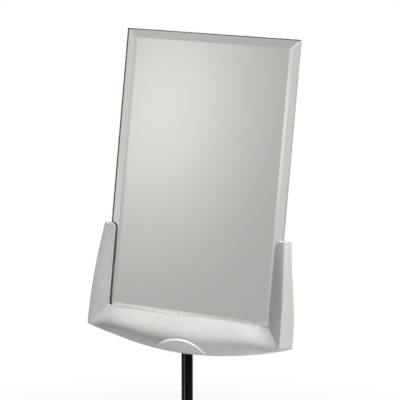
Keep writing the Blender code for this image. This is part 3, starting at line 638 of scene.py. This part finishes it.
def hollowCutter():
    rings = []
    top, rear = mould["slotFloor"] - mould["wall"], mould["wall"] - mould["rearFoot"]
    for along in shares(mould["hollowSteps"]):
        x = mix(mould["hollowHalf"], -mould["hollowHalf"], along)
        foot = apronBottom(x) + mould["draft"]
        low, high = foot + mould["wall"], mould["lipRise"] - foot
        heights = [mix(top, low, share) for share in shares(mould["hollowRise"])]
        ring = [(x, sillAt(v, high) - mould["sillWall"], v) for v in heights]
        rings.append(ring + [(x, rear, low), (x, rear, top)])
    return putMesh("hollowCutter", sweep(rings)[0])


# slot in the floor for the stem's whole swing
slotSet = {"rear": -0.01630, "front": 0.00419, "side": 0.0069, "low": -0.0737, "high": -0.0262}


def slotCutter():
    low = local(-slotSet["side"], slotSet["front"], slotSet["low"])
    high = local(slotSet["side"], slotSet["rear"], slotSet["high"])
    return putMesh("slotCutter", boxShape(low, high, cradleMatrix))


# bare half-moon plate let into the sill's lower edge, with a raised rounded rim that is painted paler as a
# painted highlight, where its edge catches the top light
plateSet = {
    "radius": 0.0435, "high": 0.0125, "foot": 0.0037, "proud": 0.0022, "back": -0.0003,
    "gap": 0.0003, "open": 0.04, "segments": 200, "sharp": 40,
    "round": 0.0017, "roundSteps": 5, "rim": 0.0024, "slope": 0.0008, "sunk": 0.0004,
    # paler tones for the rim: a painted highlight, not a different plastic
    "paintedHighlightDark": (0.76, 0.762, 0.745), "paintedHighlightPale": (0.82, 0.822, 0.805),
}


def plateMatrix():
    edge = mould["draft"] - mould["apronDrop"]
    foot, high = edge + plateSet["foot"], mould["lipRise"] - edge
    low, top = [sillAt(v, high) for v in (foot, foot + plateSet["high"])]
    turn = Matrix.Rotation(pi / 2 + atan2(top - low, plateSet["high"]), 4, "X")
    return cradleMatrix @ Matrix.Translation(local(0, low, foot)) @ turn


def halfMoon(grow, back, front, flare=0.0):
    shape = bmesh.new()
    centre = Matrix.Translation((0, plateSet["high"] - plateSet["radius"], (back + front) / 2))
    radius = plateSet["radius"] + grow
    bmesh.ops.create_cone(shape, cap_ends=True, segments=plateSet["segments"], radius1=radius,
                          radius2=radius + flare, depth=front - back, matrix=centre)
    bmesh.ops.bisect_plane(shape, geom=[*shape.verts, *shape.edges, *shape.faces],
                           plane_co=(0, -grow, 0), plane_no=(0, -1, 0), clear_outer=True)
    bmesh.ops.holes_fill(shape, edges=[edge for edge in shape.edges if edge.is_boundary])
    bmesh.ops.recalc_face_normals(shape, faces=shape.faces)
    return shape


def onSill(name, shape):
    bmesh.ops.transform(shape, matrix=plateMatrix(), verts=shape.verts)
    return putMesh(name, shape)


def buildPlate():
    proud, sunk, rim = plateSet["proud"], plateSet["sunk"], plateSet["rim"]
    shape = halfMoon(0, plateSet["back"], proud)
    face = max(shape.faces, key=lambda one: one.normal.z * one.calc_area())
    edges = [edge for edge in face.edges if max(vert.co.y for vert in edge.verts) > 1e-5]   # not the foot
    roundEdges(shape, edges, plateSet["round"], plateSet["roundSteps"])
    plate = onSill("halfMoonPlate", shape)
    panel = onSill("platePanel", halfMoon(-rim, proud - sunk, proud + sunk, plateSet["slope"]))
    cutAway(plate, cuts([panel]))
    scrap([panel])
    dress(plate, "cradle", "badge_plastic", "half_moon_badge", sharp=plateSet["sharp"])
    # the rim faces are painted paler than the plate's face, a painted highlight for the top light that the
    # rounded edge catches
    highlightTones = dict(badgeSet, dark=plateSet["paintedHighlightDark"], pale=plateSet["paintedHighlightPale"])
    highlightIndex = len(plate.data.materials)
    plate.data.materials.append(finish("badgeRim", highlightTones))
    flat = plateMatrix().inverted()
    for one in plate.data.polygons:
        middle = flat @ one.center
        if hypot(middle.x, middle.y - plateSet["high"] + plateSet["radius"]) > plateSet["radius"] - rim:
            one.material_index = highlightIndex


# cross-headed screws that hold the rear cover: across, up, and where the tip ends
screwSet = {
    "head": 0.0029, "headHigh": 0.0011, "crown": 0.0006, "crownSteps": 4, "shank": 0.0015, "tipShare": 0.3,
    "gap": 0.0003, "seat": -0.0200, "open": 0.02, "segments": 32,
    "crossLong": 0.0036, "crossWide": 0.0007, "crossDeep": 0.0008, "crossOver": 0.001,
}
screwSpots = (
    (-0.1067, 0.009, 0.004), (-0.070, -0.011, -0.0096), (0.070, -0.011, -0.0096), (0.1067, 0.009, 0.004),
)


def screwMatrix(x, v):
    seat = cradleMatrix @ Matrix.Translation(local(x, screwSet["seat"], v))
    return seat @ Matrix.Rotation(-pi / 2, 4, "X")


def screwHole(index, x, v, tip):
    gap, top = screwSet["gap"], screwSet["open"]
    wide, narrow = screwSet["head"] + gap, screwSet["shank"] + gap
    deep = screwSet["seat"] - tip - 2 * gap
    profile = [(0, top), (wide, top), (wide, -gap), (narrow, -gap), (narrow, deep), (0, deep)]
    return putMesh(f"screwHole{index}", turned(profile, screwSet["segments"], screwMatrix(x, v)))


def buildScrew(index, x, v, tip):
    head, high, crown, shank = [screwSet[key] for key in ("head", "headHigh", "crown", "shank")]
    deep = screwSet["seat"] - tip
    profile = [(0, high), (head - crown, high)] + outerRound(head, high, crown, screwSet["crownSteps"])[1:]
    profile += [(head, 0), (shank, 0), (shank, deep + shank)]
    profile += [(screwSet["tipShare"] * shank, deep), (0, deep)]
    screw = putMesh(f"coverScrew{index}", turned(profile, screwSet["segments"], screwMatrix(x, v)))
    end = Vector((screwSet["crossLong"] / 2, screwSet["crossWide"] / 2, high + screwSet["crossOver"]))
    start = Vector((-end.x, -end.y, high - screwSet["crossDeep"]))
    arms = []
    for turn in (pi / 4, 3 * pi / 4):
        matrix = screwMatrix(x, v) @ Matrix.Rotation(turn, 4, "Z")
        arms.append(putMesh("crossArm", boxShape(start, end, matrix)))
    cutAway(screw, cuts(arms))
    scrap(arms)
    dress(screw, "cradle", "zinc_steel", f"cover_screw_{index}")


# bosses inside the apron: across, up, rear end, and the depth of the screw's hole
bossSet = {"radius": 0.004, "front": 0.01355, "hole": 0.0018, "mouth": 0.005, "segments": 32}
bossSpots = (
    (-0.039, -0.015, -0.0109, -0.0013), (-0.028, -0.015, -0.0109, -0.0013),
    (0.028, -0.015, -0.0109, -0.0013), (0.039, -0.015, -0.0109, -0.0013),
    (-0.070, -0.011, -0.0186, -0.009), (0.070, -0.011, -0.0186, -0.009),
)


def pegs(name, radius, spots):
    shape = bmesh.new()
    for x, v, rear, front in spots:
        middle = cradleMatrix @ Matrix.Translation(local(x, (rear + front) / 2, v))
        peg(shape, radius, front - rear, bossSet["segments"], middle @ Matrix.Rotation(pi / 2, 4, "X"))
    return putMesh(name, shape)


def buildCradle():
    hollow, slot = hollowCutter(), slotCutter()
    gap, front, mouth = plateSet["gap"], bossSet["front"], bossSet["mouth"]
    pocket = onSill("platePocket", halfMoon(gap, plateSet["back"] - gap, plateSet["open"]))
    bosses = pegs("bosses", bossSet["radius"], [(x, v, rear, front) for x, v, rear, deep in bossSpots])
    bores = pegs("bores", bossSet["hole"], [(x, v, rear - mouth, deep) for x, v, rear, deep in bossSpots])
    holes = [screwHole(index, *spot) for index, spot in enumerate(screwSpots, 1)]
    frontSteps = cuts([hollow, slot]) + [(bosses, "UNION")] + cuts([bores, pocket, holes[0], holes[-1]])
    rearSteps = cuts([hollow, slot, *holes])
    frontOuter, rearOuter = (faceLast + 1, -3), (2, mould["rearSteps"] + 4)   # outer edges of the sections
    for kind, name, node, outer, steps in (
            ("front", "cradleFront", "front_shell", frontOuter, frontSteps),
            ("rear", "cradleRear", "rear_cover", rearOuter, rearSteps)):
        rings, corners = cradleRings(kind)
        shape, loops = sweep(rings)
        roundCorners(shape, loops, corners, *outer)
        piece = putMesh(name, shape)
        cutAway(piece, steps)
        dress(piece, "cradle", "silver_plastic", node)
        if kind == "front":
            markMitres(piece)
        print(name, len(piece.data.polygons), "faces")
    scrap([hollow, slot, pocket, bosses, bores, *holes])


buildCradle()
buildPlate()
for screwIndex, screwSpot in enumerate(screwSpots, 1):
    buildScrew(screwIndex, *screwSpot)
print("cradle made")


# stem: enamelled bar with a socket at each end and a cross hole for its pin
stemSet = {
    "radius": 0.006, "top": 0.2017, "shoulder": 0.0507, "journal": 0.005, "low": 0.0082,
    "edge": 0.0005, "edgeSteps": 4, "segments": 96,
    "socket": 0.0043, "socketEnd": 0.1754, "bolt": 0.0033, "boltEnd": 0.0225,
    "pinHole": 0.00155, "pinHeight": 0.1985, "pinLong": 0.03, "pinSegments": 32,
}


def buildStem():
    radius, edge, steps = stemSet["radius"], stemSet["edge"], stemSet["edgeSteps"]
    top, low, shoulder, journal = [stemSet[key] for key in ("top", "low", "shoulder", "journal")]
    socket, socketEnd, bolt, boltEnd = [stemSet[key] for key in ("socket", "socketEnd", "bolt", "boltEnd")]
    profile = [(0, socketEnd), (socket, socketEnd), (socket, top)] + outerRound(radius, top, edge, steps)
    profile += roundOff(radius - edge, shoulder + edge, edge, 0, -pi / 2, steps)
    profile += [(journal, shoulder), (journal, low + edge), (journal - edge, low)]
    profile += [(bolt, low), (bolt, boltEnd), (0, boltEnd)]
    bar = putMesh("stemBar", turned(profile, stemSet["segments"]))
    shape = bmesh.new()
    across = Matrix.Translation((0, 0, stemSet["pinHeight"])) @ Matrix.Rotation(pi / 2, 4, "X")
    peg(shape, stemSet["pinHole"], stemSet["pinLong"], stemSet["pinSegments"], across)
    hole = putMesh("pinHole", shape)
    cutAway(bar, cuts([hole]))
    scrap([hole])
    dress(bar, "stem", "black_gloss", "stem_rod")


buildStem()
print("stem made")


# weighted base: turned plate, collar and ribbed foot pad
turnSegments = 160
baseSet = {
    "radius": 0.095, "low": 0.0023, "top": 0.0143, "edge": 0.004, "edgeSteps": 10, "chamfer": 0.001,
    "bore": 0.0076, "recess": 0.013, "recessTop": 0.0103,
}
collarSet = {
    "low": 0.0146, "top": 0.0486, "neck": 0.012, "rim": 0.001, "rimSteps": 4,
    "fillet": 0.005, "filletSteps": 10, "foot": 0.025, "footTop": 0.0216, "edge": 0.002, "edgeSteps": 6,
}
collarScrews = {
    "circle": 0.018, "count": 3, "turn": 0.25, "segments": 32,
    "seat": 0.0037, "top": 0.0201, "shank": 0.0018, "head": 0.0032,
}
footSet = {
    "radius": 0.088, "high": 0.002, "edge": 0.0006, "edgeSteps": 3,
    "grooves": (0.030, 0.050, 0.070), "grooveWide": 0.003, "grooveDeep": 0.0007,
}


def collarHoles():
    seat, top, shank, head = [collarScrews[key] for key in ("seat", "top", "shank", "head")]
    circle = collarScrews["circle"]
    profile = [(0, top), (shank, top), (shank, seat), (head, seat), (head, 0), (0, 0)]
    made = []
    for index in range(collarScrews["count"]):
        angle = 2 * pi * (index + collarScrews["turn"]) / collarScrews["count"]
        spot = Matrix.Translation((circle * cos(angle), circle * sin(angle), 0))
        made.append(putMesh(f"collarHole{index}", turned(profile, collarScrews["segments"], spot)))
    return made


def plateProfile():
    radius, low, top, chamfer = [baseSet[key] for key in ("radius", "low", "top", "chamfer")]
    bore, recess, recessTop = [baseSet[key] for key in ("bore", "recess", "recessTop")]
    profile = [(bore, top)] + outerRound(radius, top, baseSet["edge"], baseSet["edgeSteps"])
    profile += [(radius, low + chamfer), (radius - chamfer, low), (recess, low)]
    return profile + [(recess, recessTop), (bore, recessTop), (bore, top)]


def collarProfile():
    neck, fillet, foot = collarSet["neck"], collarSet["fillet"], collarSet["foot"]
    low, top, footTop, bore = collarSet["low"], collarSet["top"], collarSet["footTop"], baseSet["bore"]
    profile = [(bore, top)] + outerRound(neck, top, collarSet["rim"], collarSet["rimSteps"])
    profile += roundOff(neck + fillet, footTop + fillet, fillet, pi, 3 * pi / 2, collarSet["filletSteps"])
    profile += outerRound(foot, footTop, collarSet["edge"], collarSet["edgeSteps"])
    return profile + [(foot, low), (bore, low), (bore, top)]


def padProfile():
    radius, high, edge, steps = [footSet[key] for key in ("radius", "high", "edge", "edgeSteps")]
    deep = footSet["grooveDeep"]
    profile = [(0, high)] + outerRound(radius, high, edge, steps)
    profile += roundOff(radius - edge, edge, edge, 0, -pi / 2, steps)
    for middle in reversed(footSet["grooves"]):
        near, far = middle - footSet["grooveWide"] / 2, middle + footSet["grooveWide"] / 2
        profile += [(far, 0), (far - deep, deep), (near + deep, deep), (near, 0)]
    return profile + [(0, 0)]


def buildBase():
    holes = collarHoles()
    for name, profile, node in (
            ("basePlate", plateProfile(), "base_plate"), ("stemCollar", collarProfile(), "stem_collar")):
        piece = putMesh(name, turned(profile, turnSegments))
        cutAway(piece, cuts(holes))
        dress(piece, "base", "black_powder", node)
    scrap(holes)
    dress(putMesh("footPad", turned(padProfile(), turnSegments)), "base", "rubber", "foot_pad")


buildBase()
print("base made")


# carried-over solids take their finishes from the record's slots
for row in frame["record"]["subparts"]:
    if row["material_slot"] in finishes:
        mesh = nodes[row["node"]].data
        mesh.materials.clear()
        mesh.materials.append(finishes[row["material_slot"]])
print("finishes put on the carried-over solids")


# stage: a pale floor, whiter away from the object, in a room that only the camera sees as white
stageSet = {
    "floorSize": 14, "floorColour": (0.86, 0.86, 0.86), "floorRough": 0.9,
    "fade": (0.22, 0.6), "white": (0.5, 1.0),
    "room": (0.80, 0.80, 0.80), "roomStrength": 0.03, "roomShine": 0.24, "roomGlass": 0.70,
}


def mixShader(tree, share, first, second):
    return addNode(tree, "ShaderNodeMixShader", {0: share, 1: first.outputs[0], 2: second.outputs[0]})


def buildFloor():
    shape = bmesh.new()
    bmesh.ops.create_grid(shape, x_segments=1, y_segments=1, size=stageSet["floorSize"] / 2)
    floor = putMesh("paleFloor", shape)
    made, tree, out = bareMaterial("paleFloor")
    away = addNode(tree, "ShaderNodeVectorMath", {0: objectCoords(tree)}, operation="LENGTH")
    white = rangeNode(tree, away.outputs["Value"], stageSet["fade"], stageSet["white"], "SMOOTHSTEP")
    path = addNode(tree, "ShaderNodeLightPath").outputs
    eye, glass = path["Is Camera Ray"], path["Is Transmission Ray"]
    strength = mathNode(tree, "MAXIMUM", eye, mathNode(tree, "MULTIPLY", glass, stageSet["roomGlass"]))
    glow = addNode(tree, "ShaderNodeEmission", {"Strength": strength})
    matte = addNode(tree, "ShaderNodeBsdfPrincipled", {
        "Base Color": (*stageSet["floorColour"], 1),
        "Roughness": stageSet["floorRough"],
        "Specular IOR Level": 0,
    })
    share = mathNode(tree, "MULTIPLY", mathNode(tree, "MAXIMUM", eye, glass), white)
    fill(out, {"Surface": mixShader(tree, share, matte, glow).outputs["Shader"]})
    floor.data.materials.append(made)


def buildRoom():
    world = bpy.data.worlds.new("whiteRoom")
    scene.world = world
    world.use_nodes = True
    tree = world.node_tree
    tree.nodes.clear()
    path = addNode(tree, "ShaderNodeLightPath").outputs
    dim = {"Color": (*stageSet["room"], 1), "Strength": stageSet["roomStrength"]}
    shown = addNode(tree, "ShaderNodeBackground", dim)
    for ray, strength in (
            ("Is Glossy Ray", stageSet["roomShine"]),
            ("Is Transmission Ray", stageSet["roomGlass"]),
            ("Is Camera Ray", 1)):
        other = addNode(tree, "ShaderNodeBackground", {"Color": (1, 1, 1, 1), "Strength": strength})
        shown = mixShader(tree, path[ray], shown, other)
    addNode(tree, "ShaderNodeOutputWorld", {"Surface": shown.outputs[0]})


# soft lamps: "seen" says if shiny surfaces reflect the lamp, "only" names the pieces that it lights
frontPieces = ("cradleFront", "halfMoonPlate")
lamps = {
    "topBeam": {
        "place": (0.0, 0.02, 1.3), "aim": (0.0, -0.02, 0.2), "size": (0.2, 0.08), "power": 0.41,
        "spread": radians(32),
    },
    "sideNear": {
        "place": (0.75, 0.05, 0.95), "aim": (0.1, 0, 0.28), "size": (0.3, 0.4), "power": 9.4,
        "seen": False,
    },
    "rightFront": {
        "place": (1.5, -1.0, 0.4), "aim": (0, 0, 0.25), "size": (0.8, 0.7), "power": 6.2,
        "seen": False,
    },
    "behind": {
        "place": (-0.7, 1.8, 1.1), "aim": (0, 0, 0.3), "size": (1.2, 1.0), "power": 20,
    },
    "lowLeft": {
        "place": (-0.20, -0.38, 0.03), "aim": (0.0, -0.03, 0.2), "size": (0.35, 0.2), "power": 0.50,
        "seen": False, "only": frontPieces,
    },
    "lowRight": {
        "place": (0.2, -0.40, 0.15), "aim": (0.06, -0.015, 0.187), "size": (0.12, 0.03), "power": 0.008,
        "spread": radians(20), "seen": False, "only": frontPieces,
    },
    "barStrip": {
        "place": (-0.3127, -0.5003, 0.006), "aim": (-0.3074, -0.4918, 1.006), "size": (0.07, 0.78),
        "power": 4.1, "only": ("stemBar",),
    },
}


def buildLamp(name, settings):
    lamp = bpy.data.lights.new(name, "AREA")
    lamp.shape = "RECTANGLE"
    lamp.size, lamp.size_y = settings["size"]
    lamp.energy = settings["power"]
    lamp.spread = settings.get("spread", pi)
    made = putAimed(name, lamp, settings["place"], Vector(settings["aim"]) - Vector(settings["place"]))
    made.visible_glossy, made.visible_transmission = settings.get("seen", True), False
    if "only" in settings:
        lit = bpy.data.collections.new(name)
        for piece in settings["only"]:
            lit.objects.link(bpy.data.objects[piece])
        made.light_linking.receiver_collection = lit


# the mirror looks at a grey card with a soft pale patch; its bevels look past the patch to paler borders
cardSet = {
    "middle": (-1.33, -2.6, 0.74), "size": (5.0, 5.0), "tint": (0.998, 1.0, 0.967), "grey": 0.45,
    "patch": 0.37, "patchPlace": (-0.145, 0.20), "patchSize": (0.175, 0.23),
    "right": ((0.21, 0.30), (0, 0.20)),   # where a border starts and ends, and how much paler it is there
    "left": ((-0.68, -0.5), (0.20, 0)),
    "top": ((0.38, 0.45), (0, 0.12)),
}


def fallOff(tree, value, middle, size):
    scaled = mathNode(tree, "DIVIDE", mathNode(tree, "SUBTRACT", value, middle), size)
    return mathNode(tree, "MULTIPLY", mathNode(tree, "MULTIPLY", scaled, scaled), -0.5)


def buildCard():
    shape = bmesh.new()
    x, y, z = cardSet["middle"]
    upright = Matrix.Translation((x, y, z)) @ Matrix.Rotation(pi / 2, 4, "X")
    bmesh.ops.create_grid(shape, x_segments=1, y_segments=1, size=0.5,
                          matrix=upright @ Matrix.Diagonal((*cardSet["size"], 1, 1)))
    card = putMesh("greyCard", shape)
    made, tree, out = bareMaterial("greyCard")
    axes = addNode(tree, "ShaderNodeSeparateXYZ", {0: objectCoords(tree)}).outputs
    across, up = mathNode(tree, "SUBTRACT", axes["X"], x), mathNode(tree, "SUBTRACT", axes["Z"], z)
    (patchX, patchZ), (sizeX, sizeZ) = cardSet["patchPlace"], cardSet["patchSize"]
    fade = mathNode(tree, "ADD", fallOff(tree, across, patchX, sizeX), fallOff(tree, up, patchZ, sizeZ))
    tone = mathNode(tree, "MULTIPLY", mathNode(tree, "EXPONENT", fade), cardSet["patch"])
    for value, side in ((across, "right"), (across, "left"), (up, "top")):
        tone = mathNode(tree, "ADD", tone, rangeNode(tree, value, *cardSet[side], "SMOOTHSTEP"))
    strength = mathNode(tree, "ADD", tone, cardSet["grey"])
    glow = addNode(tree, "ShaderNodeEmission", {"Color": (*cardSet["tint"], 1), "Strength": strength})
    fill(out, {"Surface": glow.outputs["Emission"]})
    card.data.materials.append(made)
    card.visible_camera = card.visible_diffuse = card.visible_shadow = False


buildFloor()
buildRoom()
for lampName, lampSet in lamps.items():
    buildLamp(lampName, lampSet)
buildCard()
print("stage set")
